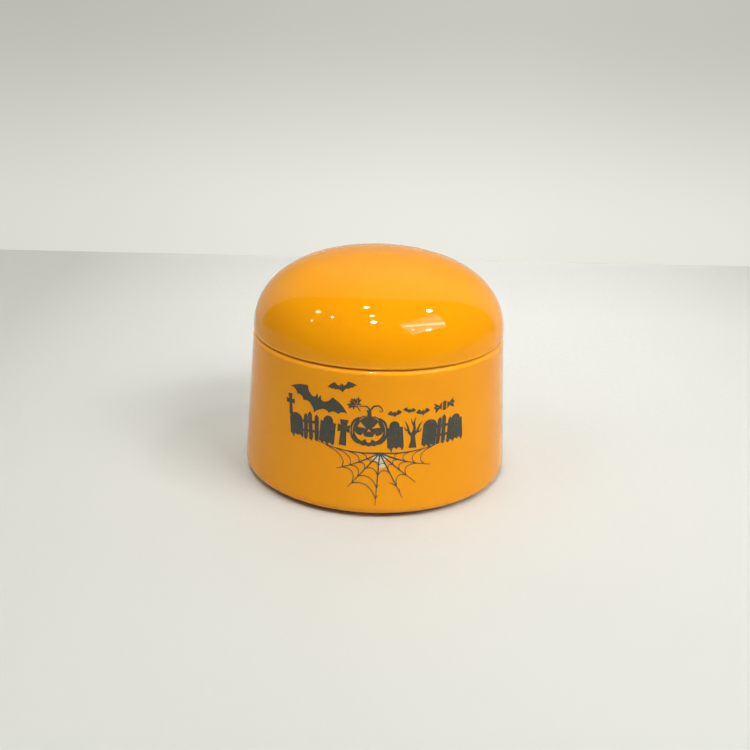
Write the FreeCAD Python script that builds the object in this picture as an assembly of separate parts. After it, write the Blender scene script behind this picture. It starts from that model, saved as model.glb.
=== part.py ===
"""Round glazed ceramic candle jar with a domed lift-off lid and a seasonal print on the front.

The jar is slip-cast and tapers slightly from a rounded base to its mouth. The lid is a hollow slip-cast
dome with a locating rim that drops into the mouth, and a silicone seal is stretched over that rim. A
poured wax candle with one cotton wick stands inside. The print is a fired-on transfer: silhouettes of
bats, a carved pumpkin on its vine, gravestones, crosses, fences, a bare tree, a sweet and a hanging web.

Frame: +Z up, origin at the centre of the foot ring's resting face, the print faces -Y. Millimetres.
"""

import FreeCAD
import Part

import math
import os

V = FreeCAD.Vector

# ---- driving dimensions ----
# jar
BASE_RADIUS = 50.8  # widest radius, just above the rounded base
BASE_ROUND = 3.0  # radius of the rounded base edge
FOOT_HEIGHT = 1.5  # the rounded base stands this far above the table
FOOT_OUTER_RADIUS = 44.8
FOOT_WIDTH = 3.8
FOOT_EDGE = 0.3  # rounding of the bare foot ring's two edges
BASE_HOLLOW = 2.5  # height of the recess inside the foot ring
RIM_HEIGHT = 54.7
RIM_OUTER_RADIUS = 47.6
RIM_OUTER_EDGE = 1.6
RIM_INNER_EDGE = 0.9
WALL = 4.3
SEAT_DEPTH = 11.0  # straight part of the mouth that the seal slides in
FLOOR_TOP = 7.0
FLOOR_ROUND = 8.0  # inside corner between floor and wall

# lid
SEAM_GAP = 0.4  # open line between jar and lid, taken up by the seal's flange
LID_HEIGHT = 30.4
LID_RADIUS = 47.6  # widest radius, just above the rounded lower edge
LID_EDGE = 0.9
LID_WALL = 4.0
SHOULDER_FULLNESS = 0.59  # how far the dome's curve is pulled up the side, as a share of its height
CROWN_FULLNESS = 0.67  # how far it is pulled out along the top, as a share of its radius
LOCATING_RIM_RADIUS = 40.9
LOCATING_RIM_DEPTH = 6.5
LOCATING_RIM_BEAD = 0.5  # ridge at the rim's foot that keeps the seal on
LOCATING_RIM_BEAD_HEIGHT = 1.3
LOCATING_RIM_EDGE = 0.6

# seal
SEAL_SLEEVE = 1.1  # thickness of the sleeve round the locating rim
SEAL_FLANGE_RADIUS = 45.6
SEAL_LIP_CLEARANCE = 0.15  # between the compressed lips and the mouth
SEAL_LIP_THICKNESS = 0.6
SEAL_LIP_HEIGHTS = (1.9, 3.6)  # lips, measured down from the flange's underside

# candle
WAX_TOP = 38.5
WAX_SHRINK = 0.15  # gap that the cooled wax leaves at the glazed wall
WAX_MENISCUS = 1.2  # how far the wax climbs at its edge
WICK_RADIUS = 1.3
WICK_TIP = 46.5
WICK_TAB_RADIUS = 10.0
WICK_TAB_THICKNESS = 0.3
WICK_TAB_NECK_HEIGHT = 3.5
WICK_TAB_NECK_WALL = 0.5
WICK_STICKER_RADIUS = 9.5
WICK_STICKER_THICKNESS = 1.0

# print
INK = 0.08  # thickness of the fired-on transfer
INK_TOP = 52.4  # the transfer stays below the rounded rim
INK_LOWEST_ANGLE = -25.0  # how far round the base edge it can reach, in degrees below level
INK_WRAP_RADIUS = 49.3  # radius at which the flat transfer is wrapped round the jar
FUSE_TOLERANCE = 0.001

LID_BOTTOM = RIM_HEIGHT + SEAM_GAP
MOUTH_RADIUS = RIM_OUTER_RADIUS - WALL


# ---- profile helpers: a lathe profile is a list of edges in the XZ plane ----
def at(radius, height):
    return V(radius, 0, height)


def line(start, end):
    return Part.LineSegment(start, end).toShape()


def arc(centre, radius, start_degrees, end_degrees):
    """Arc in the XZ plane, angles from +X towards +Z."""
    angles = [math.radians(a) for a in (start_degrees, (start_degrees + end_degrees) / 2, end_degrees)]
    points = [centre + radius * V(math.cos(a), 0, math.sin(a)) for a in angles]
    return Part.Arc(*points).toShape()


def bezier(*poles):
    curve = Part.BezierCurve()
    curve.setPoles(list(poles))
    return curve.toShape()


def joined(edges):
    """The edges in order, with a straight line wherever one doesn't start where the last one ended."""
    out = []
    for edge in edges:
        start = edge.firstVertex(True).Point
        if out:
            last = out[-1].lastVertex(True).Point
            if last.distanceToPoint(start) > 1e-6:
                out.append(line(last, start))
        out.append(edge)
    first = out[0].firstVertex(True).Point
    last = out[-1].lastVertex(True).Point
    if last.distanceToPoint(first) > 1e-6:
        out.append(line(last, first))
    return out


def turned(edges):
    """Solid of revolution about Z from a closed profile."""
    face = Part.Face(Part.Wire(joined(edges)))
    solid = face.revolve(V(0, 0, 0), V(0, 0, 1), 360)
    return Part.Solid(solid.Shells[0]) if solid.ShapeType != "Solid" else solid


def disc(radius, bottom, top):
    return Part.makeCylinder(radius, top - bottom, V(0, 0, bottom))


# ---- jar ----
def wall_slope():
    """Angle of the outer wall from vertical, in degrees, for a line tangent to the base rounding."""
    centre = at(BASE_RADIUS - BASE_ROUND, FOOT_HEIGHT + BASE_ROUND)
    rim = at(RIM_OUTER_RADIUS, RIM_HEIGHT)
    reach = rim - centre
    return math.degrees(math.atan2(reach.z, reach.x) - math.acos(BASE_ROUND / reach.Length))


def outer_wall(offset, bottom_angle, top):
    """The outside of the jar, moved out by offset: base rounding, then the straight taper up to top."""
    slope = wall_slope()
    centre = at(BASE_RADIUS - BASE_ROUND, FOOT_HEIGHT + BASE_ROUND)
    radius = BASE_ROUND + offset
    rounding = arc(centre, radius, bottom_angle, slope)
    start = rounding.lastVertex(True).Point
    end = start + V(-math.tan(math.radians(slope)), 0, 1) * (top - start.z)
    return [rounding, line(start, end)]


def make_jar_body():
    slope = wall_slope()
    foot_inner = FOOT_OUTER_RADIUS - FOOT_WIDTH
    rim_outer = at(RIM_OUTER_RADIUS - RIM_OUTER_EDGE, RIM_HEIGHT - RIM_OUTER_EDGE)
    rim_inner = at(MOUTH_RADIUS + RIM_INNER_EDGE, RIM_HEIGHT - RIM_INNER_EDGE)
    seat_foot = at(MOUTH_RADIUS, RIM_HEIGHT - SEAT_DEPTH)
    inner_slope = math.tan(math.radians(slope))
    wall_drop = seat_foot.z - FLOOR_TOP - FLOOR_ROUND
    wall_foot = at(MOUTH_RADIUS + wall_drop * inner_slope, FLOOR_TOP + FLOOR_ROUND)
    edges = [
        arc(at(foot_inner + FOOT_EDGE, FOOT_EDGE), FOOT_EDGE, -180, -90),
        arc(at(FOOT_OUTER_RADIUS - FOOT_EDGE, FOOT_EDGE), FOOT_EDGE, -90, 0),
        *outer_wall(0, -90, rim_outer.z),
        arc(rim_outer, RIM_OUTER_EDGE, slope, 90),
        arc(rim_inner, RIM_INNER_EDGE, 90, 180),
        line(seat_foot, wall_foot),
        arc(wall_foot - V(FLOOR_ROUND, 0, 0), FLOOR_ROUND, 0, -90),
        line(at(0, FLOOR_TOP), at(0, BASE_HOLLOW)),
        line(at(0, BASE_HOLLOW), at(foot_inner - 2 * BASE_HOLLOW, BASE_HOLLOW)),
    ]
    return turned(edges)


# ---- lid ----
def dome(radius, foot, top):
    """Poles of a dome's half profile, one smooth curve from its widest point up to its crown."""
    shoulder = at(radius, foot + SHOULDER_FULLNESS * (top - foot))
    crown = at(CROWN_FULLNESS * radius, top)
    return [at(radius, foot), shoulder, crown, at(0, top)]


def make_lid():
    top = LID_BOTTOM + LID_HEIGHT
    rim_bottom = LID_BOTTOM - LOCATING_RIM_DEPTH
    rim_inner = LOCATING_RIM_RADIUS - LID_WALL + LOCATING_RIM_EDGE
    bead_radius = LOCATING_RIM_RADIUS + LOCATING_RIM_BEAD
    seat_top = LID_BOTTOM + LID_WALL
    inner_radius = LID_RADIUS - LID_WALL
    inner_round = 2.5
    rim_edge = LOCATING_RIM_EDGE
    edges = [
        arc(at(LID_RADIUS - LID_EDGE, LID_BOTTOM + LID_EDGE), LID_EDGE, -90, 0),
        bezier(*dome(LID_RADIUS, LID_BOTTOM + LID_EDGE, top)),
        bezier(*reversed(dome(inner_radius, seat_top + inner_round, top - LID_WALL))),
        arc(at(inner_radius - inner_round, seat_top + inner_round), inner_round, 0, -90),
        arc(at(rim_inner + inner_round, seat_top - inner_round), inner_round, 90, 180),
        arc(at(rim_inner + rim_edge, rim_bottom + rim_edge), rim_edge, 180, 270),
        arc(at(bead_radius - rim_edge, rim_bottom + rim_edge), rim_edge, -90, 0),
        line(
            at(bead_radius, rim_bottom + LOCATING_RIM_BEAD_HEIGHT - LOCATING_RIM_BEAD),
            at(LOCATING_RIM_RADIUS, rim_bottom + LOCATING_RIM_BEAD_HEIGHT),
        ),
        line(
            at(LOCATING_RIM_RADIUS, rim_bottom + LOCATING_RIM_BEAD_HEIGHT),
            at(LOCATING_RIM_RADIUS, LID_BOTTOM),
        ),
    ]
    return turned(edges)


def make_lid_seal():
    sleeve_outer = LOCATING_RIM_RADIUS + SEAL_SLEEVE
    sleeve_bottom = LID_BOTTOM - LOCATING_RIM_DEPTH + LOCATING_RIM_BEAD_HEIGHT
    lip_tip = MOUTH_RADIUS - SEAL_LIP_CLEARANCE
    half = SEAL_LIP_THICKNESS / 2
    edges = [
        line(at(LOCATING_RIM_RADIUS, LID_BOTTOM), at(LOCATING_RIM_RADIUS, sleeve_bottom)),
        line(at(LOCATING_RIM_RADIUS, sleeve_bottom), at(sleeve_outer, sleeve_bottom)),
    ]
    for drop in sorted(SEAL_LIP_HEIGHTS, reverse=True):
        height = RIM_HEIGHT - drop
        edges += [
            line(at(sleeve_outer, height - 2 * half), at(lip_tip - half, height - half)),
            arc(at(lip_tip - half, height), half, -90, 90),
            line(at(lip_tip - half, height + half), at(sleeve_outer, height + half)),
        ]
    edges += [
        line(at(sleeve_outer, RIM_HEIGHT), at(SEAL_FLANGE_RADIUS, RIM_HEIGHT)),
        line(at(SEAL_FLANGE_RADIUS, RIM_HEIGHT), at(SEAL_FLANGE_RADIUS, LID_BOTTOM)),
    ]
    return turned(edges)


# ---- candle ----
def make_candle():
    """The wax, the wick, the pressed metal tab that holds the wick upright, and the tab's sticker."""
    sticker_top = FLOOR_TOP + WICK_STICKER_THICKNESS
    tab_top = sticker_top + WICK_TAB_THICKNESS
    neck_radius = WICK_RADIUS + WICK_TAB_NECK_WALL
    sticker = disc(WICK_STICKER_RADIUS, FLOOR_TOP, sticker_top)
    wick = disc(WICK_RADIUS, sticker_top, WICK_TIP)
    tip_edges = [edge for edge in wick.Edges if abs(edge.CenterOfMass.z - WICK_TIP) < 1e-6]
    wick = wick.makeFillet(WICK_RADIUS * 0.4, tip_edges)
    plate = disc(WICK_TAB_RADIUS, sticker_top, tab_top)
    neck = disc(neck_radius, tab_top, tab_top + WICK_TAB_NECK_HEIGHT)
    bore = disc(WICK_RADIUS, sticker_top, tab_top + WICK_TAB_NECK_HEIGHT)
    tab = plate.fuse(neck).cut(bore).removeSplitter()

    slope = math.tan(math.radians(wall_slope()))
    seat_foot = RIM_HEIGHT - SEAT_DEPTH
    wall_top = MOUTH_RADIUS + (seat_foot - WAX_TOP) * slope - WAX_SHRINK
    wall_foot = MOUTH_RADIUS + (seat_foot - FLOOR_TOP - FLOOR_ROUND) * slope - WAX_SHRINK
    round_foot = FLOOR_ROUND - WAX_SHRINK
    edges = [
        line(at(0, FLOOR_TOP), at(wall_foot - FLOOR_ROUND, FLOOR_TOP)),
        arc(at(wall_foot - round_foot, FLOOR_TOP + FLOOR_ROUND), round_foot, -90, 0),
        line(at(wall_foot, FLOOR_TOP + FLOOR_ROUND), at(wall_top, WAX_TOP + WAX_MENISCUS / 2)),
        arc(at(wall_top - WAX_MENISCUS, WAX_TOP + WAX_MENISCUS), WAX_MENISCUS, -30, -90),
        line(at(wall_top - WAX_MENISCUS, WAX_TOP), at(0, WAX_TOP)),
    ]
    wax = turned(edges)
    for inner in (sticker, tab, disc(WICK_RADIUS, sticker_top, WICK_TIP)):
        wax = wax.cut(inner)
    return wax, wick, tab, sticker


# ---- print: flat outlines on the transfer, x along the wrap and y up the jar ----
def placed(points, centre=(0, 0), size=1.0, turn=0.0):
    """Outline points scaled, turned by degrees and moved. A third number, the bulge, stays."""
    c = math.cos(math.radians(turn)) * size
    s = math.sin(math.radians(turn)) * size
    return [(centre[0] + c * p[0] - s * p[1], centre[1] + s * p[0] + c * p[1], *p[2:]) for p in points]


def mirrored(points):
    """A left-right symmetric outline from its right half, which runs from the top middle to the bottom."""
    left = []
    for this, following in zip(points[:-1], points[1:]):
        bulge = this[2] if len(this) > 2 else 0
        left.append((-following[0], following[1], bulge))
    return list(points[:-1]) + [points[-1][:2] + (left[-1][2],)] + left[:-1][::-1]


def flipped(points):
    """The outline mirrored left to right."""
    return [(-x, y, *[-b for b in bulge]) for x, y, *bulge in points]


def wrapped(x, y):
    """A point of the flat transfer as seen from straight in front, once it is wrapped round the jar."""
    return V(INK_WRAP_RADIUS * math.sin(x / INK_WRAP_RADIUS), 0, y)


def stamp(edges):
    """Prism of a closed flat outline, reaching from inside the jar to in front of it."""
    face = Part.Face(Part.Wire(edges))
    face.translate(V(0, -BASE_RADIUS - 5, 0))
    return face.extrude(V(0, BASE_RADIUS - 10, 0))


def outline(points):
    """Stamp from (x, y) or (x, y, bulge) points. A bulge bends the side to the next point into an arc:
    its height over half the side's length, positive to the right of the way to the next point."""
    edges = []
    for n, this in enumerate(points):
        start = wrapped(*this[:2])
        end = wrapped(*points[(n + 1) % len(points)][:2])
        if len(this) > 2 and this[2]:
            side = end - start
            middle = (start + end) / 2 + V(side.z, 0, -side.x) * (this[2] / 2)
            edges.append(Part.Arc(start, middle, end).toShape())
        else:
            edges.append(line(start, end))
    return stamp(edges)


def stroke(points, widths):
    """Thin tapering line through points, as one outline. widths holds the width at each point."""
    left, right = [], []
    for n, (x, y) in enumerate(points):
        before = points[max(n - 1, 0)]
        after = points[min(n + 1, len(points) - 1)]
        dx, dy = after[0] - before[0], after[1] - before[1]
        k = widths[n] / 2 / math.hypot(dx, dy)
        left.append((x - dy * k, y + dx * k))
        right.append((x + dy * k, y - dx * k))
    return outline(left + right[::-1])


def curve_points(start, pull, end, count):
    """Points along a quadratic curve from start to end, pulled towards pull."""
    out = []
    for n in range(count + 1):
        t = n / count
        weights = ((1 - t) ** 2, 2 * t * (1 - t), t * t)
        out.append(tuple(sum(w * v for w, v in zip(weights, values)) for values in zip(start, pull, end)))
    return out


def lens(x, y, half_width, half_height):
    """Upright oval of four arcs."""
    w, h = half_width, half_height
    bow = 0.41
    return outline(placed([(0, h, bow), (-w, 0, bow), (0, -h, bow), (w, 0, bow)], (x, y)))


def fused(stamps):
    first, *rest = stamps
    return first.multiFuse(rest, FUSE_TOLERANCE) if rest else first


def ink(stamps):
    """Solids of fired ink: what the stamps leave on the jar's outer wall."""
    solids = []
    for one in stamps:
        solids += one.common(INK_LAYER).removeSplitter().Solids
    return Part.makeCompound(solids)


def make_ink_layer():
    inner = outer_wall(0, INK_LOWEST_ANGLE, INK_TOP)
    rounding, wall = outer_wall(INK, INK_LOWEST_ANGLE, INK_TOP)
    back = line(wall.lastVertex(True).Point, wall.firstVertex(True).Point)
    centre = at(BASE_RADIUS - BASE_ROUND, FOOT_HEIGHT + BASE_ROUND)
    rounding = arc(centre, BASE_ROUND + INK, wall_slope(), INK_LOWEST_ANGLE)
    return turned([*inner, back, rounding])


INK_LAYER = make_ink_layer()

BAT = mirrored([
    (0, 0.12),
    (0.055, 0.27),
    (0.105, 0.12, -0.25),
    (0.17, 0.10, 0.28),
    (0.42, 0.35, -0.16),
    (1.00, 0.03, 0.40),
    (0.72, -0.08, 0.50),
    (0.45, -0.17, 0.50),
    (0.17, -0.17, 0.20),
    (0, -0.38),
])


def bat(centre, half_span, turn, lift=1.0):
    """Spread bat. lift raises the wings, as in the upstroke."""
    points = [(x, y * lift, *bulge) for x, y, *bulge in BAT]
    return outline(placed(points, centre, half_span, turn))


def ragged_foot(half_width, drips):
    """Points of a dripping bottom edge, from right to left. drips are the depths, one for each drip."""
    step = 2 * half_width / len(drips)
    out = []
    for n, depth in enumerate(drips):
        right = half_width - n * step
        out += [(right, 0), (right - step * 0.35, -depth), (right - step * 0.6, -depth * 0.25)]
    return out + [(-half_width, 0)]


def gravestone(centre, half_width, height, turn, drips):
    """Round-headed stone on a dripping foot."""
    head = height - half_width
    points = [(-half_width, head, -1.0), (half_width, head)] + ragged_foot(half_width, drips)
    return outline(placed(points, centre, turn=turn))


def stepped_stone(centre, half_width, height, turn, drips):
    """Stone with square shoulders and a round head between them."""
    neck = half_width * 0.62
    shoulder = height - neck * 1.3
    points = [
        (-half_width, shoulder),
        (-neck, shoulder),
        (-neck, shoulder + neck * 0.3, -1.0),
        (neck, shoulder + neck * 0.3),
        (neck, shoulder),
        (half_width, shoulder),
    ] + ragged_foot(half_width, drips)
    return outline(placed(points, centre, turn=turn))


def cross(centre, half_width, height, turn, bar):
    """Grave cross with flared ends. bar is its arms' half thickness."""
    arm = height * 0.66
    points = [
        (-bar * 1.5, height), (bar * 1.5, height), (bar, arm + bar),
        (half_width, arm + bar * 1.4), (half_width, arm - bar * 1.4), (bar, arm - bar),
        (bar * 1.3, 0), (-bar * 1.3, 0), (-bar, arm - bar),
        (-half_width, arm - bar * 1.4), (-half_width, arm + bar * 1.4), (-bar, arm + bar),
    ]
    return outline(placed(points, centre, turn=turn))


def fence(centre, half_width, heights, turn):
    """Crooked picket fence: one board for each height, with two rails."""
    pitch = 2 * half_width / len(heights)
    board = pitch * 0.37
    stamps = []
    for n, height in enumerate(heights):
        x = -half_width + (n + 0.5) * pitch
        lean = 0.25 * (-1) ** n
        points = [
            (x - board, -0.5), (x - board + lean, height - board), (x + lean, height + 0.35),
            (x + board + lean, height - board), (x + board, 0.2), (x + board * 0.2, -1.1),
        ]
        stamps.append(outline(placed(points, centre, turn=turn)))
    for share in (0.28, 0.68):
        rail = min(heights) * share
        points = [
            (-half_width, rail - 0.5), (half_width, rail - 0.2),
            (half_width, rail + 0.7), (-half_width, rail + 0.4),
        ]
        stamps.append(outline(placed(points, centre, turn=turn)))
    return fused(stamps)


def bare_tree(centre, height):
    """Leafless tree: a flared trunk and forked limbs."""
    h = height
    limbs = [
        ([(0, -0.6), (0.15, 0.2 * h), (-0.1, 0.45 * h)], [3.0, 1.8, 1.4]),
        ([(-0.1, 0.4 * h), (0.5, 0.62 * h), (0.3, 0.85 * h), (0.9, 1.05 * h)], [1.4, 1.0, 0.6, 0.2]),
        ([(0.0, 0.38 * h), (1.6, 0.55 * h), (2.3, 0.74 * h), (3.2, 0.86 * h)], [1.2, 0.85, 0.6, 0.2]),
        ([(0.0, 0.36 * h), (-1.5, 0.50 * h), (-2.0, 0.72 * h), (-3.0, 0.92 * h)], [1.2, 0.85, 0.6, 0.2]),
        ([(1.4, 0.50 * h), (2.5, 0.52 * h), (3.2, 0.62 * h)], [0.7, 0.5, 0.2]),
        ([(-1.7, 0.58 * h), (-2.7, 0.60 * h), (-3.2, 0.70 * h)], [0.7, 0.5, 0.2]),
        ([(0.4, 0.70 * h), (-0.5, 0.86 * h), (-0.8, 1.0 * h)], [0.65, 0.45, 0.2]),
    ]
    return fused([stroke(placed(points, centre), widths) for points, widths in limbs])


def carved_pumpkin(centre):
    """Carved pumpkin: ribbed outline with a stem, with eyes, nose, toothed mouth and rib lines cut out."""
    x, y = centre
    lobes = [(-3.6, 2.7, 4.9), (-1.8, 3.0, 5.5), (0, 2.9, 5.7), (1.8, 3.0, 5.5), (3.6, 2.7, 4.9)]
    stem = [(-0.9, 5.0), (-0.6, 6.2, 0.2), (-1.2, 7.4), (0.3, 7.7, -0.2), (0.7, 6.2), (1.0, 5.0)]
    ribbed = [lens(x + dx, y, *half_sizes) for dx, *half_sizes in lobes]
    body = fused(ribbed + [outline(placed(stem, centre))])
    eye = [(0.9, 0.9), (4.1, 1.4, -0.12), (3.1, 3.3)]
    mouth = [
        (-5.0, -0.1, 0.30), (-2.7, -1.7), (-2.1, -0.8), (-1.4, -2.0, 0.12), (1.4, -2.0), (2.1, -0.8),
        (2.7, -1.7, 0.30), (5.0, -0.1, -0.28), (2.4, -3.8), (1.1, -2.9), (0.6, -4.2, -0.05), (-0.6, -4.2),
        (-1.1, -2.9), (-2.4, -3.8, -0.28),
    ]
    nose = [(-0.75, -0.3), (0.75, -0.3), (0, 0.9)]
    cuts = [outline(placed(points, centre)) for points in (eye, flipped(eye), nose, mouth)]
    for side in (-1, 1):
        upper = curve_points((side * 1.5, 5.1), (side * 2.8, 4.6), (side * 3.3, 3.7), 4)
        cuts.append(stroke(placed(upper, centre), [0.12, 0.3, 0.35, 0.3, 0.12]))
        lower = curve_points((side * 4.7, 3.3), (side * 6.3, 1.4), (side * 5.6, -1.6), 4)
        cuts.append(stroke(placed(lower, centre), [0.12, 0.25, 0.3, 0.25, 0.12]))
    return body.cut(cuts)


def leaf(centre, size, turn):
    """Five-lobed toothed leaf with its veins left clear."""
    half = [
        (0, 1.0), (0.17, 0.66), (0.38, 0.84), (0.34, 0.48), (0.96, 0.62), (0.76, 0.32), (1.0, 0.08),
        (0.46, 0.0), (0.62, -0.36), (0.18, -0.24), (0.05, -0.36), (0.07, -0.9), (0, -0.95),
    ]
    veins = [[(0, -0.3), (0, 0.3), (0, 0.72)]]
    for side in (-1, 1):
        veins.append([(side * 0.08, -0.16), (side * 0.3, 0.14), (side * 0.66, 0.42)])
        veins.append([(side * 0.12, -0.28), (side * 0.28, -0.22), (side * 0.44, -0.24)])
    cuts = [stroke(placed(vein, centre, size, turn), [0.22, 0.2, 0.08]) for vein in veins]
    return outline(placed(mirrored(half), centre, size, turn)).cut(cuts)


def vine(centre):
    """Curling tendrils from the pumpkin's stem."""
    runs = [
        [(0, 0), (-1.2, 1.3), (-2.6, 1.4), (-3.8, 1.0)],
        [(0, 0), (1.2, 1.5), (2.8, 1.7), (3.9, 0.9), (4.3, -0.1), (3.7, -0.6), (3.2, 0.0)],
    ]
    stamps = []
    for run in runs:
        widths = [0.6 - 0.35 * n / (len(run) - 1) for n in range(len(run))]
        stamps.append(stroke(placed(run, centre), widths))
    return fused(stamps)


def wrapped_sweet(centre, size, turn):
    """Sweet in a twisted wrapper: an oval with two fanned ends, with stripes and creases left clear."""
    oval = [(0, 1.5, 0.41), (-1.8, 0, 0.41), (0, -1.5, 0.41), (1.8, 0, 0.41)]
    end = [(1.4, 0.1), (3.6, 1.8), (3.2, 0.8), (3.9, 0.2), (3.2, -0.4), (3.5, -1.7), (1.4, -0.2)]
    crease = [(2.2, 0.12), (3.0, 0.25), (3.0, 0.05), (2.2, -0.05)]
    stripe = [(-0.1, 1.7), (0.35, 1.7), (-0.15, -1.7), (-0.6, -1.7)]
    stripes = [[(x + shift, y) for x, y in stripe] for shift in (-0.7, 0.9)]
    wrapper = [outline(placed(points, centre, size, turn)) for points in (oval, end, flipped(end))]
    cuts = [outline(placed(points, centre, size, turn)) for points in (crease, flipped(crease), *stripes)]
    return fused(wrapper).cut(cuts)


# hanging web: spokes fan out below a slack line, and threads sag between them towards the hub
WEB_HUB = (1.8, 25.3)
WEB_SPOKES = [  # degrees below level from the left, length, where threads leave for the next spoke
    (4, 22.4, (0.30, 0.48, 0.68, 0.86)),
    (29, 17.4, (0.30, 0.48, 0.68, 0.86)),
    (51, 17.4, (0.24, 0.42, 0.66, 0.87)),
    (87, 19.6, (0.24, 0.42)),
    (117, 19.2, (0.36, 0.72)),
    (138, 17.8, (0.36, 0.54, 0.72)),
    (158, 20.0, (0.30, 0.48, 0.68, 0.86)),
    (177, 22.4, ()),
]
WEB_TORN = [  # torn threads: spoke, place along it, share of the way left to the next spoke or the last
    (3, 0.66, 0.16),
    (3, 0.87, 0.12),
    (4, 0.72, -0.34),
    (4, 0.87, 0.14),
]
WEB_SAG = 0.84  # a thread's middle lies this share of its ends' distance from the hub
WEB_STRAND = 0.44
WEB_CELLS = [  # pale cells by the hub: spoke, inner and outer radius
    *[(n, 1.2, 2.2) for n in range(1, 6)],
    *[(n, 2.4, 3.2) for n in range(1, 6)],
    (3, 3.4, 5.6),
]


def web_point(spoke, share):
    angle, length = spoke[:2]
    a = math.radians(180 + angle)
    lift = 3.6 * abs(math.cos(a)) ** 6 * share**2  # the slack top line rises towards its ends
    return (WEB_HUB[0] + length * share * math.cos(a), WEB_HUB[1] + length * share * math.sin(a) + lift)


def web_thread(start_spoke, end_spoke, share, reach=1.0):
    """Sagging thread between two spokes. reach under 1 stops it short."""
    start, end = web_point(start_spoke, share), web_point(end_spoke, share)
    middle = [(a + b) / 2 for a, b in zip(start, end)]
    pull = [hub + (m - hub) * (2 * WEB_SAG - 1) for hub, m in zip(WEB_HUB, middle)]
    end = curve_points(start, pull, end, 100)[round(100 * reach)]
    pull = [a + (b - a) * reach for a, b in zip(start, pull)]
    count = 4 if reach == 1 else 2
    widths = [0.85] + [0.6] * (count - 1) + [0.85 if reach == 1 else 0.3]
    return stroke(curve_points(start, pull, end, count), [WEB_STRAND * width for width in widths])


def make_web():
    strands = []
    for n, spoke in enumerate(WEB_SPOKES):
        points = [web_point(spoke, step / 4) for step in range(5)]
        strands.append(stroke(points, [WEB_STRAND * (1.25 - 0.2 * step) for step in range(5)]))
        strands += [web_thread(spoke, WEB_SPOKES[n + 1], share) for share in spoke[2]]
    for n, share, reach in WEB_TORN:
        beside = WEB_SPOKES[n + 1] if reach > 0 else WEB_SPOKES[n - 1]
        strands.append(web_thread(WEB_SPOKES[n], beside, share, abs(reach)))
    return fused(strands)


def make_web_cells():
    cells = []
    for n, inner, outer in WEB_CELLS:
        a, b = WEB_SPOKES[n][0] + 3, WEB_SPOKES[n + 1][0] - 3
        points = []
        for angle, reach in ((a, inner), (b, inner), (b, outer), (a, outer)):
            t = math.radians(180 + angle)
            points.append((WEB_HUB[0] + reach * math.cos(t), WEB_HUB[1] + reach * math.sin(t)))
        cells.append(outline(points))
    return cells


def clear_of(stamps, laid):
    """The stamps without what the stamps laid before them cover, since ink is laid once."""
    out = []
    for one in stamps:
        covered = [other for other in laid if other.BoundBox.intersect(one.BoundBox)]
        out.append(one.cut(covered) if covered else one)
    return out


def make_prints():
    """Name and ink solids of each group of the print."""
    foot = 28.0  # height that the stones and fences stand on
    groups = {
        "print_pumpkin": [carved_pumpkin((-2.2, 33.3))],
        "print_large_bat": [bat((-21.2, 41.5), 11.7, -15)],
        "print_small_bats": [
            bat((-12.0, 48.3), 5.4, 10),
            bat((6.6, 39.7), 2.6, 8, 1.5),
            bat((11.7, 40.7), 2.4, -8, 1.3),
            bat((16.7, 39.7), 2.7, 6, 1.5),
        ],
        "print_gravestones": [
            gravestone((-29.4, foot), 2.9, 8.2, 5, (1.4, 0.7, 1.6)),
            stepped_stone((-17.3, foot - 0.4), 2.9, 9.8, -4, (0.9, 1.7, 0.8)),
            stepped_stone((7.3, foot - 0.5), 2.9, 9.6, 5, (1.5, 0.8, 2.0)),
            gravestone((19.2, foot - 0.4), 2.7, 9.4, -4, (0.8, 1.9, 1.0)),
            stepped_stone((30.8, foot + 0.3), 2.8, 9.2, 6, (1.8, 0.8, 1.3)),
        ],
        "print_grave_crosses": [
            cross((-32.2, foot + 6.4), 1.9, 7.6, 4, 0.65),
            cross((-11.4, foot - 0.7), 2.2, 9.4, -3, 1.05),
        ],
        "print_fences": [
            fence((-23.3, foot - 0.1), 3.3, (8.4, 9.4, 8.6), 3),
            fence((25.0, foot + 0.1), 3.2, (8.7, 9.6, 8.3), -2),
        ],
        "print_bare_tree": [bare_tree((13.3, foot - 0.4), 10.2)],
        "print_vine": [vine((-1.9, 40.9)), leaf((-7.0, 42.5), 2.9, 38)],
        "print_sweet": [wrapped_sweet((25.0, 41.1), 1.12, 9)],
        "print_web": [make_web()],
        "print_web_cells": make_web_cells(),
    }
    prints = {}
    laid = []
    for name, stamps in groups.items():
        stamps = clear_of(stamps, laid)
        laid += stamps
        prints[name] = ink(stamps)
    return prints


def main():
    os.makedirs("parts", exist_ok=True)
    wax, wick, tab, sticker = make_candle()
    parts = {
        "jar_body": make_jar_body(),
        "lid": make_lid(),
        "lid_seal": make_lid_seal(),
        "candle_wax": wax,
        "wick": wick,
        "wick_tab": tab,
        "wick_sticker": sticker,
        **make_prints(),
    }
    for name, shape in parts.items():
        shape.exportStep(f"parts/{name}.step")
        box = shape.BoundBox
        ranges = [(box.XMin, box.XMax), (box.YMin, box.YMax), (box.ZMin, box.ZMax)]
        spans = "  ".join(f"{low:7.2f} {high:7.2f}" for low, high in ranges)
        print(f"{name:20s} {len(shape.Solids)} solids valid {shape.isValid()} {shape.Volume:.1f}  {spans}")


main()
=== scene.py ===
"""Looks of the lidded ceramic candle jar: glazed surfaces, print, wax, braided wick, studio and camera.

Everything is in metres in the CAD frame: +Z up, origin under the middle of the foot ring, print towards -Y.
"""

import math

import bmesh
import bpy
from mathutils import Matrix, Vector


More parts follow.
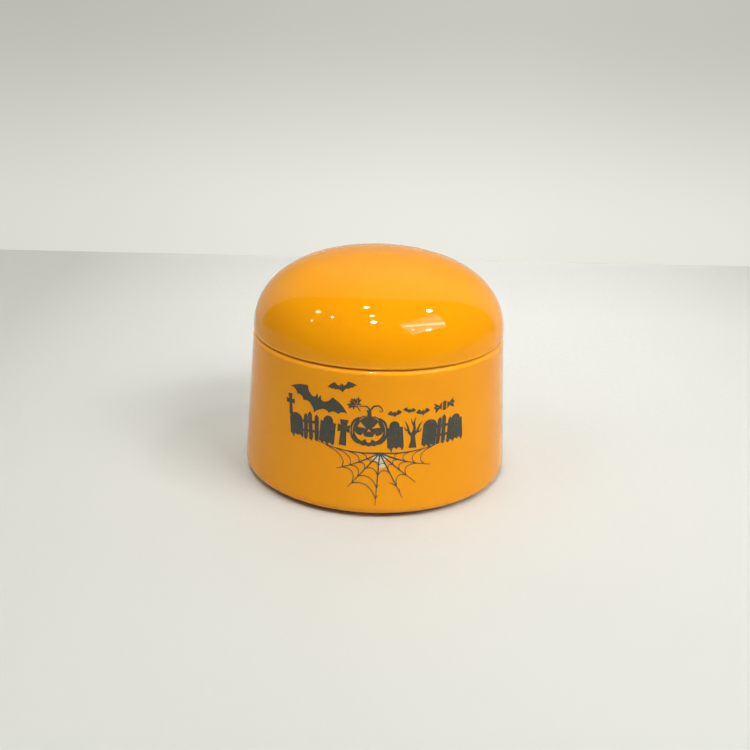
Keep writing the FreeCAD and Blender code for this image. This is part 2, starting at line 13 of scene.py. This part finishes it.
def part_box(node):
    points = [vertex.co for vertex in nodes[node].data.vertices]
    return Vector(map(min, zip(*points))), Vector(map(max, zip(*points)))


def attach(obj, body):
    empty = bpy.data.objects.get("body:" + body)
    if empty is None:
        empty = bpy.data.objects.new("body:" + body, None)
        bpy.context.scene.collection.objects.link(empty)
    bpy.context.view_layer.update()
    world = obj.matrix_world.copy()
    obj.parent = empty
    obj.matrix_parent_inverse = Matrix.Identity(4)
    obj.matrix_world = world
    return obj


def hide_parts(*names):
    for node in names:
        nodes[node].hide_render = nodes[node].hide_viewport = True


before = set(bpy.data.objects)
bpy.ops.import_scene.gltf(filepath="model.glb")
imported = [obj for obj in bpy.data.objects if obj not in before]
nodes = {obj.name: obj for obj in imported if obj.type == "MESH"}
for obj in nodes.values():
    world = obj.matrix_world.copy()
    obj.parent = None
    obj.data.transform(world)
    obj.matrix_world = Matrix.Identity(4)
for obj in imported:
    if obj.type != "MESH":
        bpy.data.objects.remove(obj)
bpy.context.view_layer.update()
scene = bpy.context.scene

# ---------------------------------------------------------------- camera
CAMERA_TARGET = Vector((0, 0, 0.0476))
CAMERA_DISTANCE = 0.4
CAMERA_ELEVATION = math.radians(18.93)
CAMERA_ROLL = math.radians(1.91)
FOCAL_IN_FRAME_WIDTHS = 1.3824
TARGET_RIGHT_OF_MIDDLE = 0.0041  # in frame widths
TARGET_ABOVE_MIDDLE = 0.0383


def make_camera():
    data = bpy.data.cameras.new("camera")
    data.sensor_width = 36
    data.lens = FOCAL_IN_FRAME_WIDTHS * data.sensor_width
    data.shift_x = -TARGET_RIGHT_OF_MIDDLE
    data.shift_y = -TARGET_ABOVE_MIDDLE
    data.clip_start = 0.01
    data.clip_end = 50
    camera = bpy.data.objects.new("camera", data)
    scene.collection.objects.link(camera)
    far_painted_light_share = Vector((0, -math.cos(CAMERA_ELEVATION), math.sin(CAMERA_ELEVATION)))
    look = (-far_painted_light_share).to_track_quat("-Z", "Y").to_matrix().to_4x4()
    place = Matrix.Translation(CAMERA_TARGET + CAMERA_DISTANCE * far_painted_light_share)
    camera.matrix_world = place @ look @ Matrix.Rotation(CAMERA_ROLL, 4, "Z")
    scene.camera = camera


make_camera()
scene.view_settings.view_transform = "Standard"


# ---------------------------------------------------------------- node helpers
class Nodes:
    """Short-hand for building one node tree. place is the vector that its textures follow."""

    def __init__(self, tree, coordinate):
        self.tree = tree
        self.place = self.add("ShaderNodeTexCoord").outputs[coordinate]

    def add(self, kind, **settings):
        node = self.tree.nodes.new(kind)
        for key, value in settings.items():
            setattr(node, key, value)
        return node

    def link(self, source, socket):
        self.tree.links.new(source, socket)

    def feed(self, socket, value):
        if isinstance(value, bpy.types.NodeSocket):
            self.link(value, socket)
        elif value is not None:
            socket.default_value = value

    def noise(self, scale, detail=2.0, roughness=0.5, vector=None):
        node = self.add("ShaderNodeTexNoise")
        self.link(vector or self.place, node.inputs["Vector"])
        node.inputs["Scale"].default_value = scale
        node.inputs["Detail"].default_value = detail
        node.inputs["Roughness"].default_value = roughness
        return node.outputs[0]

    def cells(self, scale):
        """Distance to the nearest of a scatter of points."""
        node = self.add("ShaderNodeTexVoronoi")
        self.link(self.place, node.inputs["Vector"])
        node.inputs["Scale"].default_value = scale
        return node.outputs["Distance"]

    def stretched(self, x, y, z):
        node = self.add("ShaderNodeMapping")
        self.link(self.place, node.inputs["Vector"])
        node.inputs["Scale"].default_value = (x, y, z)
        return node.outputs[0]

    def spread(self, value, low, high, out_low=0.0, out_high=1.0, smooth=False):
        """Takes the range low to high to the range out_low to out_high."""
        node = self.add("ShaderNodeMapRange")
        if smooth:
            node.interpolation_type = "SMOOTHSTEP"
        self.feed(node.inputs["Value"], value)
        for key, number in (("From Min", low), ("From Max", high), ("To Min", out_low), ("To Max", out_high)):
            node.inputs[key].default_value = number
        return node.outputs["Result"]

    def math(self, operation, first, second=None):
        node = self.add("ShaderNodeMath", operation=operation)
        self.feed(node.inputs[0], first)
        self.feed(node.inputs[1], second)
        return node.outputs[0]

    def blend(self, kind, share, first, second):
        node = self.add("ShaderNodeMix", data_type=kind)
        self.feed(node.inputs["Factor"], share)
        self.feed(node.inputs["A"], first)
        self.feed(node.inputs["B"], second)
        return node.outputs["Result"]

    def mix(self, share, first, second):
        return self.blend("RGBA", share, first, second)

    def mix_number(self, share, first, second):
        return self.blend("FLOAT", share, first, second)

    def axes(self, vector=None):
        node = self.add("ShaderNodeSeparateXYZ")
        self.link(vector or self.place, node.inputs[0])
        return tuple(node.outputs)

    def bump(self, height, distance, strength=1.0, below=None):
        node = self.add("ShaderNodeBump")
        self.link(height, node.inputs["Height"])
        node.inputs["Distance"].default_value = distance
        node.inputs["Strength"].default_value = strength
        if below is not None:
            self.link(below, node.inputs["Normal"])
        return node.outputs[0]

    def mix_normals(self, share, first, second):
        return self.blend("VECTOR", share, first, second)


class Surface(Nodes):
    """One material: its node tree with a Principled shader, placed in the object's own metres."""

    def __init__(self, name):
        self.material = bpy.data.materials.new(name)
        self.material.use_nodes = True
        self.material.node_tree.nodes.clear()
        super().__init__(self.material.node_tree, "Object")
        output = self.add("ShaderNodeOutputMaterial")
        self.shader = self.add("ShaderNodeBsdfPrincipled")
        self.link(self.shader.outputs[0], output.inputs[0])

    def set(self, **values):
        """Shader inputs by name, with _ for a blank."""
        for key, value in values.items():
            self.feed(self.shader.inputs[key.replace("_", " ")], value)


def colour(red, green, blue):
    return (red, green, blue, 1.0)


# ---------------------------------------------------------------- materials
GLAZE = colour(0.80, 0.305, 0.001)
# Lighter thin-glaze colour: random thin spots use it, and the seam edge band uses it partly as glaze break
# and partly as a painted highlight.
GLAZE_THIN_AND_HIGHLIGHT = colour(0.93, 0.43, 0.03)
GLAZE_THICK = colour(0.78, 0.288, 0.001)
CLAY = colour(0.74, 0.64, 0.50)
CLAY_SPECK = colour(0.62, 0.50, 0.37)
MILLIMETRE = 0.001


def inside_band(t, height, band, border, full=1.0, smooth=False):
    """full within a band of heights in mm, falling to 0 at its two ends over the border."""
    low, high = (end * MILLIMETRE for end in band)
    far_painted_light_share = t.math("ABSOLUTE", t.math("SUBTRACT", height, (low + high) / 2))
    half = (high - low) / 2
    return t.spread(far_painted_light_share, half, half - border, 0, full, smooth)


def glaze(name, thin_and_highlight_band, bare_band):
    """Glossy orange glaze with faint clouding, orange peel and a few pinholes.

    The first band is where it runs thin over an edge, painted lighter partly as glaze break and partly as a
    painted highlight along the seam, and bare_band is where the clay is left bare. Both are heights in mm.
    """
    t = Surface(name)
    height = t.axes()[2]
    clouds = t.noise(48, detail=4, roughness=0.55)
    fine = t.noise(1100, detail=3, roughness=0.6)
    pinholes = t.spread(t.cells(230), 0.030, 0.046)
    tone = t.mix(t.spread(clouds, 0.32, 0.62), GLAZE_THICK, GLAZE)
    tone = t.mix(t.spread(fine, 0.5, 0.85, 0, 0.10), tone, GLAZE_THIN_AND_HIGHLIGHT)
    rough = t.spread(clouds, 0.3, 0.7, 0.02, 0.04)
    # Painted highlight in part: the band over the seam edges is painted lighter, partly as glaze break and
    # partly standing in for the highlight lines along the seam.
    thin_and_highlight_border = 0.3 * (thin_and_highlight_band[1] - thin_and_highlight_band[0]) * MILLIMETRE
    thin_and_highlight = inside_band(t, height, thin_and_highlight_band, thin_and_highlight_border, full=0.62, smooth=True)
    tone = t.mix(thin_and_highlight, tone, GLAZE_THIN_AND_HIGHLIGHT)
    pinhole_patches = t.spread(t.noise(90), 0.60, 0.66)
    tone = t.mix(t.math("MULTIPLY", t.spread(pinholes, 1, 0), pinhole_patches), tone, GLAZE_THICK)
    peel = t.bump(t.noise(520, detail=1.5), 0.000010)
    wave = t.bump(t.noise(30, detail=1), 0.00035, below=peel)
    normal = t.bump(pinholes, 0.00002, 0.5, below=wave)
    grain = t.noise(2600, detail=4, roughness=0.7)
    ragged = t.math("ADD", height, t.spread(t.noise(260, detail=3), 0.3, 0.7, -0.00016, 0.00016))
    bare = inside_band(t, ragged, bare_band, 0.05 * MILLIMETRE)
    tone = t.mix(bare, tone, t.mix(t.spread(grain, 0.35, 0.7), CLAY_SPECK, CLAY))
    rough = t.mix_number(bare, rough, 0.85)
    normal = t.mix_normals(bare, normal, t.bump(grain, 0.00008))
    t.set(Base_Color=tone, Roughness=rough, Normal=normal)
    t.shader.inputs["Specular IOR Level"].default_value = 0.2
    return t.material


def printed_ink(name, dark, light, wear):
    """Transfer ink fired on the glaze: satin, with fine worn specks where the orange shows through."""
    t = Surface(name)
    grain = t.noise(5200, detail=3, roughness=0.65)
    patches = t.noise(330, detail=3, roughness=0.6)
    tone = t.mix(t.spread(grain, 0.3, 0.75), dark, light)
    worn = t.math("MULTIPLY", t.spread(grain, 0.60, 0.68), t.spread(patches, 0.50, 0.68, 0, wear))
    tone = t.mix(worn, tone, GLAZE)
    t.set(Base_Color=tone, Roughness=t.spread(grain, 0.3, 0.7, 0.24, 0.36))
    t.set(Normal=t.bump(grain, 0.000012))
    t.shader.inputs["Specular IOR Level"].default_value = 0.3
    return t.material


def wax_material():
    """Cream soy wax: light enters it, with frosting patches, tiny air pits and a gently uneven top."""
    t = Surface("wax")
    frost = t.noise(75, detail=5, roughness=0.65)
    mottled = t.noise(480, detail=3, roughness=0.6)
    pits = t.spread(t.cells(420), 0.07, 0.16)
    tone = t.mix(t.spread(frost, 0.36, 0.66), colour(0.80, 0.67, 0.46), colour(0.89, 0.80, 0.63))
    tone = t.mix(t.spread(mottled, 0.45, 0.8, 0, 0.35), tone, colour(0.93, 0.88, 0.76))
    t.set(Base_Color=tone, Roughness=t.spread(frost, 0.3, 0.7, 0.30, 0.52))
    t.shader.inputs["Subsurface Weight"].default_value = 0.45
    t.shader.inputs["Subsurface Radius"].default_value = (1.0, 0.62, 0.34)
    t.shader.inputs["Subsurface Scale"].default_value = 0.004
    wave = t.bump(t.noise(60, detail=2), 0.0006)
    grain = t.bump(mottled, 0.00006, below=wave)
    t.set(Normal=t.bump(pits, 0.00010, 0.6, below=grain))
    return t.material


SOAKED_TO = 0.0396
DRY_FROM = 0.0436


def cotton_material():
    """Undyed cotton yarn, waxed: fine fibres, a little darker where the wax has soaked in, and painted darker
    in the dips between the fibres as painted shade.
    """
    t = Surface("cotton")
    height = t.axes()[2]
    fibre = t.noise(2600, detail=4, roughness=0.7, vector=t.stretched(1.0, 1.0, 0.28))
    uneven = t.math("ADD", height, t.spread(fibre, 0.2, 0.8, -0.0012, 0.0012))
    soaked = t.spread(uneven, SOAKED_TO, DRY_FROM)
    tone = t.mix(soaked, colour(0.70, 0.60, 0.42), colour(0.86, 0.81, 0.70))
    # Painted shade: darker brown in the dips between the fibres.
    tone = t.mix(t.spread(fibre, 0.30, 0.62, 0.45, 0), tone, colour(0.46, 0.38, 0.26))
    t.set(Base_Color=tone, Roughness=t.spread(fibre, 0.3, 0.7, 0.6, 0.9), Normal=t.bump(fibre, 0.00010))
    t.shader.inputs["Sheen Weight"].default_value = 0.25
    return t.material


def steel_material():
    """Pressed tinned steel: faint rings from the die and a few scuffs."""
    t = Surface("tab_steel")
    x, y = t.axes()[:2]
    radius = t.math("SQRT", t.math("ADD", t.math("MULTIPLY", x, x), t.math("MULTIPLY", y, y)))
    rings = t.math("SINE", t.math("MULTIPLY", radius, 9000.0))
    scuffs = t.noise(700, detail=5, roughness=0.7, vector=t.stretched(1.0, 4.0, 1.0))
    tone = t.mix(t.spread(scuffs, 0.35, 0.7), colour(0.56, 0.55, 0.52), colour(0.72, 0.72, 0.70))
    t.set(Base_Color=tone, Roughness=t.spread(scuffs, 0.3, 0.7, 0.22, 0.42))
    t.set(Normal=t.bump(rings, 0.000012, below=t.bump(scuffs, 0.00002)))
    t.shader.inputs["Metallic"].default_value = 1.0
    return t.material


def foam_material():
    """White adhesive foam, with small open cells, painted darker in their pits as painted shade."""
    t = Surface("sticker_foam")
    cells = t.cells(2600)
    # Painted shade: darker in the pits of the open cells.
    tone = t.mix(t.spread(cells, 0.1, 0.6), colour(0.60, 0.59, 0.56), colour(0.86, 0.85, 0.82))
    t.set(Base_Color=tone, Roughness=t.spread(cells, 0, 1, 0.7, 0.95), Normal=t.bump(cells, 0.00012))
    return t.material


def silicone_material():
    """Milky moulded silicone: light enters it, satin, with faint clouding and a fine bloom."""
    t = Surface("seal_silicone")
    clouds = t.noise(140, detail=3)
    bloom = t.noise(2400, detail=3, roughness=0.6)
    tone = t.mix(t.spread(clouds, 0.3, 0.7), colour(0.62, 0.60, 0.55), colour(0.74, 0.73, 0.68))
    t.set(Base_Color=tone, Roughness=t.spread(bloom, 0.3, 0.7, 0.28, 0.44), Normal=t.bump(bloom, 0.00001))
    t.shader.inputs["Subsurface Weight"].default_value = 0.5
    t.shader.inputs["Subsurface Radius"].default_value = (1.0, 0.95, 0.85)
    t.shader.inputs["Subsurface Scale"].default_value = 0.0015
    return t.material


def give(node_name, material):
    for slot in nodes[node_name].material_slots:
        slot.material = material


# The thin bands sit on the seam edges, where the lighter glaze is partly a painted highlight.
give("jar_body", glaze("jar_glaze", thin_and_highlight_band=(53.0, 55.4), bare_band=(-0.5, 1.1)))
give("lid", glaze("lid_glaze", thin_and_highlight_band=(54.8, 56.4), bare_band=(48.0, 49.4)))
dark_ink = printed_ink("print_ink", colour(0.040, 0.041, 0.032), colour(0.068, 0.069, 0.055), 0.9)
pale_ink = printed_ink("print_pale_ink", colour(0.52, 0.50, 0.40), colour(0.66, 0.65, 0.56), 0.6)
for node_name in nodes:
    if node_name == "print_web_cells":
        give(node_name, pale_ink)
    elif node_name.startswith("print_"):
        give(node_name, dark_ink)
give("lid_seal", silicone_material())
give("candle_wax", wax_material())
give("wick_tab", steel_material())
give("wick_sticker", foam_material())

# ---------------------------------------------------------------- braided wick
WICK_STRANDS = 8  # half of them run each way round
WICK_PITCH = 0.0098
WICK_STRAND_RADIUS = 0.00034
WICK_MEAN_RADIUS = 0.00080
WICK_WEAVE = 0.00014
WICK_CORE_RADIUS = 0.00062
WICK_CORE_STEPS = 60
WICK_LOOSE_ENDS = 0.00035
WICK_FRAY = 0.00012
WICK_BOTTOM_GAP = 0.0003
WICK_TOP_GAP = 0.0006
STEPS_PER_TURN = 40


def add_tube(mesh, path, radii, sides=9):
    """Closed tube along a path."""
    rings = []
    for n, point in enumerate(path):
        ahead = path[min(n + 1, len(path) - 1)] - path[max(n - 1, 0)]
        ahead.normalize()
        across = ahead.cross(Vector((0, 0, 1)))
        if across.length < 1e-6:
            across = Vector((1, 0, 0))
        across.normalize()
        other = ahead.cross(across)
        ring = []
        for k in range(sides):
            turn = 2 * math.pi * k / sides
            offset = across * math.cos(turn) + other * math.sin(turn)
            ring.append(mesh.verts.new(point + radii[n] * offset))
        rings.append(ring)
    for low, high in zip(rings[:-1], rings[1:]):
        for k in range(sides):
            mesh.faces.new((low[k], low[(k + 1) % sides], high[(k + 1) % sides], high[k]))
    mesh.faces.new(rings[0][::-1])
    mesh.faces.new(rings[-1])


def make_wick():
    """Round braid: strands run both ways round a core and pass over and under each other."""
    low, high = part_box("wick")
    bottom, top = low.z + WICK_BOTTOM_GAP, high.z - WICK_TOP_GAP
    count = round((top - bottom) / WICK_PITCH * STEPS_PER_TURN)
    mesh = bmesh.new()
    for strand in range(WICK_STRANDS):
        way = 1 if strand % 2 else -1
        start = 2 * math.pi * (strand // 2) / (WICK_STRANDS / 2)
        loose = WICK_LOOSE_ENDS * math.sin(3.1 * strand)  # the cut ends are not quite level
        path, radii = [], []
        for step in range(count + 1):
            share = step / count
            z = bottom + share * (top + loose - bottom)
            turn = start + way * 2 * math.pi * (z - bottom) / WICK_PITCH
            weave = math.cos(WICK_STRANDS / 2 * (turn - start) + math.pi * (strand % 2))
            spread = WICK_FRAY * max(0.0, share - 0.96) / 0.04
            r = WICK_MEAN_RADIUS + WICK_WEAVE * weave + spread * (1 + 0.4 * math.sin(5 * strand))
            path.append(Vector((r * math.cos(turn), r * math.sin(turn), z)))
            radii.append(WICK_STRAND_RADIUS * (1.0 - 0.35 * max(0.0, share - 0.98) / 0.02))
        limit = high.x - 0.00001
        radii = [min(radius, limit - Vector((p.x, p.y)).length) for p, radius in zip(path, radii)]
        add_tube(mesh, path, radii)
    rise = (top - bottom) / WICK_CORE_STEPS
    core = [Vector((0, 0, bottom + rise * step)) for step in range(WICK_CORE_STEPS + 1)]
    add_tube(mesh, core, [WICK_CORE_RADIUS] * len(core), sides=14)
    data = bpy.data.meshes.new("wick_braid")
    bmesh.ops.recalc_face_normals(mesh, faces=mesh.faces)
    mesh.to_mesh(data)
    mesh.free()
    data.polygons.foreach_set("use_smooth", [True] * len(data.polygons))
    data.materials.append(cotton_material())
    wick = bpy.data.objects.new("wick_braid", data)
    scene.collection.objects.link(wick)
    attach(wick, "jar")
    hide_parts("wick")


make_wick()


# ---------------------------------------------------------------- studio
STAGE_HALF_WIDTH = 2.2
TABLE_BACK = 0.3292
TABLE_FRONT = -0.33
TABLE_YAW = 0.044  # of its back edge, in radians
# Table tones are painted light: darker near the front and at the sides as painted shade, lighter at the back
# as painted light and painted reflection of the wall.
TABLE_NEAR_PAINTED_SHADE = colour(0.505, 0.52, 0.495)
TABLE_FAR_PAINTED_LIGHT = colour(0.75, 0.76, 0.755)
TABLE_SIDE_PAINTED_SHADE = colour(0.505, 0.515, 0.49)
TABLE_FLECK = colour(0.57, 0.57, 0.54)
ROOM_TILT = math.radians(18)
ROOM_HALF_WIDTH = 1.36
ROOM_HALF_HEIGHT = 2.2
ROOM_EDGE_IN = 0.96
ROOM_EDGE_OUT = 1.05
ROOM_WHITE = colour(0.83, 0.83, 0.755)
ROOM_DIM = colour(0.14, 0.136, 0.125)
CEILING_GAIN = 1.25
WALL_SIDE_GAIN = 1.05
WALL_TOP_SHADE = 0.70
WALL_LEFT_SHADE = 0.86
LAMP_TINT = (1.0, 0.985, 0.94)
LAMP_DISTANCE = 4.0
NEAR_LAMP_DISTANCE = 1.15  # in front of the window
WINDOW_DISTANCE = 1.3
WINDOW_AZIMUTH = 128
WINDOW_ELEVATION = 44.3
WINDOW_WIDTH = 0.78
WINDOW_HEIGHT = 0.50
WINDOW_RADIANCE = 7.6
WINDOW_FOLD_SLOPE = 0.35


def towards(azimuth, elevation, distance):
    """Point at a distance from the object. Azimuth 0 is behind it and 90 to its right."""
    turn, rise = math.radians(azimuth), math.radians(elevation)
    level = math.cos(rise)
    return CAMERA_TARGET + distance * Vector((math.sin(turn) * level, math.cos(turn) * level, math.sin(rise)))


def flat_sheet(name, corners, material):
    mesh = bpy.data.meshes.new(name)
    mesh.from_pydata(corners, [], [tuple(range(len(corners)))])
    obj = bpy.data.objects.new(name, mesh)
    mesh.materials.append(material)
    scene.collection.objects.link(obj)
    return obj


def make_table():
    """Pale matt table top whose back edge shows against the far wall. Its tone is painted light: darker near
    the front and to the sides as painted shade, lighter at the back as painted light and painted reflection
    of the wall.
    """
    t = Surface("table_top")
    x, y = t.axes()[:2]
    broad = t.noise(4, detail=2)
    fine = t.noise(420, detail=4, roughness=0.6)
    # Painted light: lighter towards the back, standing in for the light falling there and the wall's
    # reflection at a grazing angle; darker near the front as painted shade.
    far_painted_light_share = t.spread(t.math("ADD", y, t.spread(broad, 0.3, 0.7, -0.02, 0.02)), -0.19, 0.2)
    tone = t.mix(far_painted_light_share, TABLE_NEAR_PAINTED_SHADE, TABLE_FAR_PAINTED_LIGHT)
    aside = t.math("SUBTRACT", x, 0.04)
    # Painted shade: darker to each side.
    tone = t.mix(t.spread(t.math("MULTIPLY", aside, aside), 0, 0.06), tone, TABLE_SIDE_PAINTED_SHADE)
    tone = t.mix(t.spread(fine, 0.4, 0.8, 0, 0.25), tone, TABLE_FLECK)
    t.set(Base_Color=tone, Roughness=t.spread(fine, 0.3, 0.7, 0.42, 0.48))
    t.shader.inputs["Specular IOR Level"].default_value = 0.3
    half = STAGE_HALF_WIDTH
    turn = half * TABLE_YAW
    front = [(-half, TABLE_FRONT, 0), (half, TABLE_FRONT, 0)]
    back = [(half, TABLE_BACK + turn, 0), (-half, TABLE_BACK - turn, 0)]
    flat_sheet("table_top", front + back, t.material)


def make_far_room():
    """White wall and ceiling behind and above, seen and reflected; the room in front is dim."""
    world = bpy.data.worlds.new("room")
    scene.world = world
    world.use_nodes = True
    t = Nodes(world.node_tree, "Generated")
    background = t.tree.nodes["Background"]
    x, y, z = t.axes()
    turned = t.add("ShaderNodeMapping")
    t.link(t.place, turned.inputs["Vector"])
    turned.inputs["Rotation"].default_value = (-ROOM_TILT, 0, 0)
    aside, ahead, above = t.axes(turned.outputs[0])
    across = t.math("DIVIDE", aside, ROOM_HALF_WIDTH)
    up = t.math("DIVIDE", above, ROOM_HALF_HEIGHT)
    off_axis = t.math("SQRT", t.math("ADD", t.math("MULTIPLY", across, across), t.math("MULTIPLY", up, up)))
    ratio = t.math("DIVIDE", off_axis, t.math("MAXIMUM", ahead, 0.001))
    inside = t.spread(ratio, ROOM_EDGE_OUT, ROOM_EDGE_IN, smooth=True)
    wall = t.spread(z, -0.21, -0.01, 1.0, WALL_TOP_SHADE, smooth=True)
    wall = t.math("MULTIPLY", wall, t.spread(z, 0.0, 0.3, 1.0, 0.6))
    edgeways = t.spread(t.math("ABSOLUTE", x), 0.38, 0.68, smooth=True)
    wall = t.mix_number(edgeways, wall, WALL_SIDE_GAIN)
    ceiling = t.spread(x, -0.7, 0.4, 0.66 * CEILING_GAIN, 1.1 * CEILING_GAIN)
    shade = t.mix_number(t.spread(z, 0.38, 0.85, smooth=True), wall, ceiling)
    left = t.spread(x, -0.42, 0.12, WALL_LEFT_SHADE, 1.0, smooth=True)
    right = t.spread(x, 0.12, 0.36, 1.0, 0.93)
    clouds = t.spread(t.noise(2.2, detail=2), 0.3, 0.7, 0.97, 1.03)
    shade = t.math("MULTIPLY", t.math("MULTIPLY", shade, t.math("MULTIPLY", left, right)), clouds)
    t.link(t.mix(inside, ROOM_DIM, ROOM_WHITE), background.inputs["Color"])
    t.link(t.mix_number(inside, 1.0, shade), background.inputs["Strength"])


def ceiling_lamp(name, azimuth, elevation, spread, radiance, distance=LAMP_DISTANCE):
    """Round lamp in the given direction from the object. spread is how wide it looks, in degrees."""
    radius = distance * math.tan(math.radians(spread / 2))
    data = bpy.data.lights.new(name, "AREA")
    data.shape = "DISK"
    data.size = 2 * radius
    data.energy = radiance * math.pi * math.pi * radius**2
    data.color = LAMP_TINT
    lamp = bpy.data.objects.new(name, data)
    lamp.location = towards(azimuth, elevation, distance)
    lamp.rotation_euler = (CAMERA_TARGET - lamp.location).to_track_quat("-Z", "Y").to_euler()
    scene.collection.objects.link(lamp)


def make_window():
    """Curtained window high on the right: soft light, with a brighter fold across it."""
    t = Surface("window")
    x, y = t.axes()[:2]
    fold = t.math("ABSOLUTE", t.math("SUBTRACT", y, t.math("MULTIPLY", x, WINDOW_FOLD_SLOPE)))
    streak = t.spread(fold, 0.06, 0.012, 0.0, 1.0, smooth=True)
    cloth = t.spread(t.noise(6, detail=3, vector=t.stretched(1.0, 0.25, 1.0)), 0.3, 0.7, 0.55, 1.15)
    low = t.spread(y, WINDOW_HEIGHT / 2, -WINDOW_HEIGHT / 2, 0.75, 1.25)
    strength = t.math("MULTIPLY", t.math("MULTIPLY", cloth, low), t.spread(streak, 0, 1, 0.8, 4.2))
    strength = t.math("MULTIPLY", strength, WINDOW_RADIANCE)
    t.set(Base_Color=colour(0, 0, 0), Emission_Strength=strength)
    t.shader.inputs["Emission Color"].default_value = colour(1.0, 0.98, 0.94)
    w, h = WINDOW_WIDTH / 2, WINDOW_HEIGHT / 2
    pane = flat_sheet("window", [(-w, -h, 0), (w, -h, 0), (w, h, 0), (-w, h, 0)], t.material)
    pane.location = towards(WINDOW_AZIMUTH, WINDOW_ELEVATION, WINDOW_DISTANCE)
    pane.rotation_euler = (pane.location - CAMERA_TARGET).to_track_quat("-Z", "Y").to_euler()


make_table()
make_far_room()
make_window()
ceiling_lamp("lamp_left", -98.9, 47.3, 4.3, 38)
ceiling_lamp("lamp_left_far", -118.8, 50.3, 2.5, 150)
ceiling_lamp("lamp_left_low", -106.3, 34.5, 1.5, 75)
ceiling_lamp("lamp_top", -136.6, 79.1, 4.3, 62)
ceiling_lamp("lamp_middle", -168.8, 67.2, 2.3, 120)
ceiling_lamp("lamp_front", -174.1, 56.5, 4.3, 250)
ceiling_lamp("lamp_right", 99.6, 58.3, 4.3, 66, distance=NEAR_LAMP_DISTANCE)
ceiling_lamp("lamp_right_low", 128.4, 35.0, 3.9, 66, distance=NEAR_LAMP_DISTANCE)
ceiling_lamp("lamp_right_small", 143.0, 39.7, 2.2, 75, distance=NEAR_LAMP_DISTANCE)
